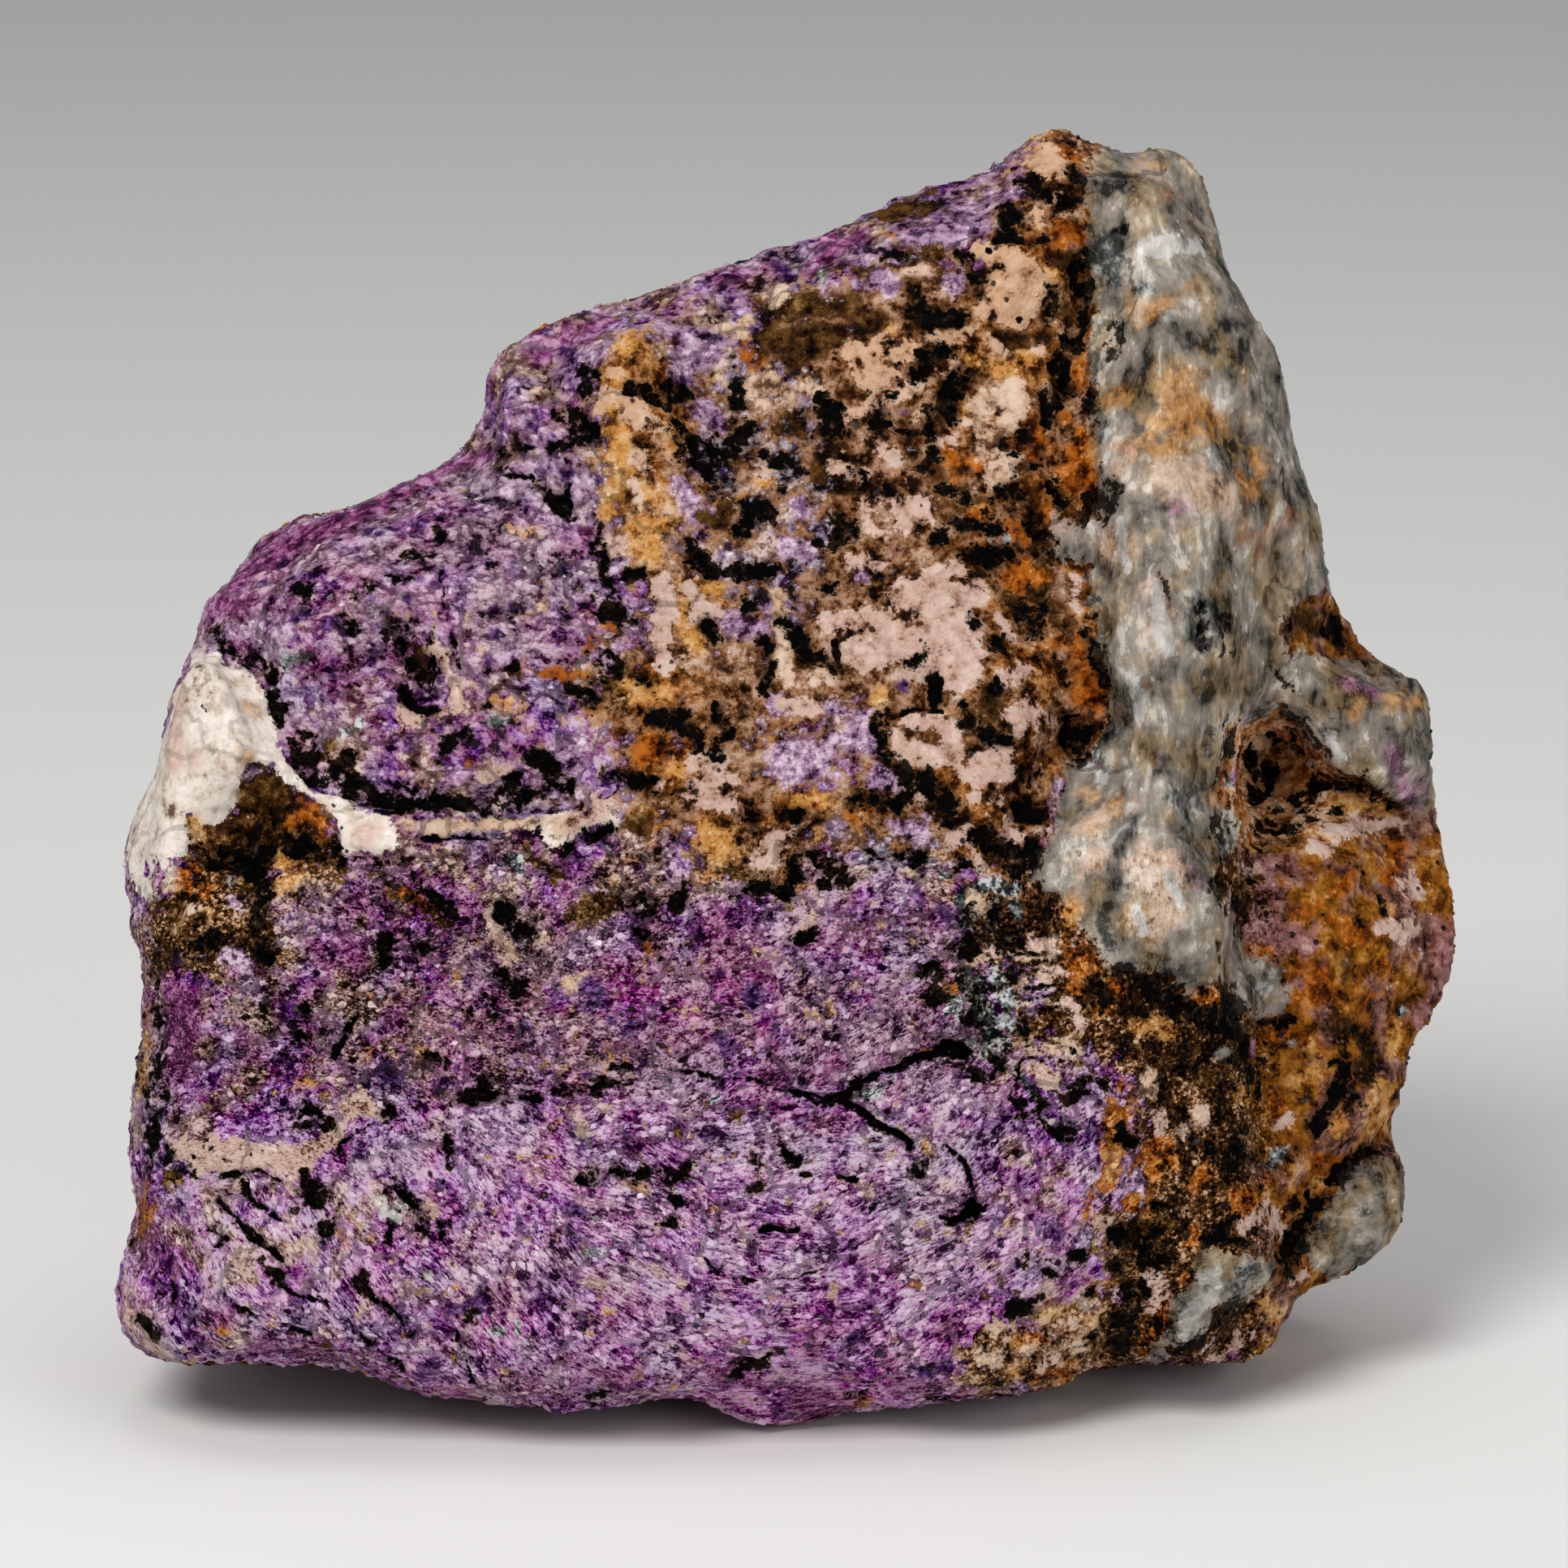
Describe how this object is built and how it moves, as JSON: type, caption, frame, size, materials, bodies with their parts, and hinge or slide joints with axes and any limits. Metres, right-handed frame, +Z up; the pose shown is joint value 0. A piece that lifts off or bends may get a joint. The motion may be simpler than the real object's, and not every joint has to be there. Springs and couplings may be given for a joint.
{
  "type": "purpurite specimen",
  "caption": "Rough, unpolished hand specimen of purple purpurite with a grey quartz band, for display, standing upright on a flat fracture.",
  "frame": {"origin": "centre of the bounding box at its bottom, on the flat fracture that the rock stands on", "axes": "+X to the viewer's right along the broad purple face, +Y from that face to the back, +Z up"},
  "size_m": [0.084, 0.054, 0.077],
  "materials": {
    "stone": "rough broken, dull with scattered sparkle"
  },
  "bodies": {
    "root": {"rock": "stone"}
  },
  "joints": []
}
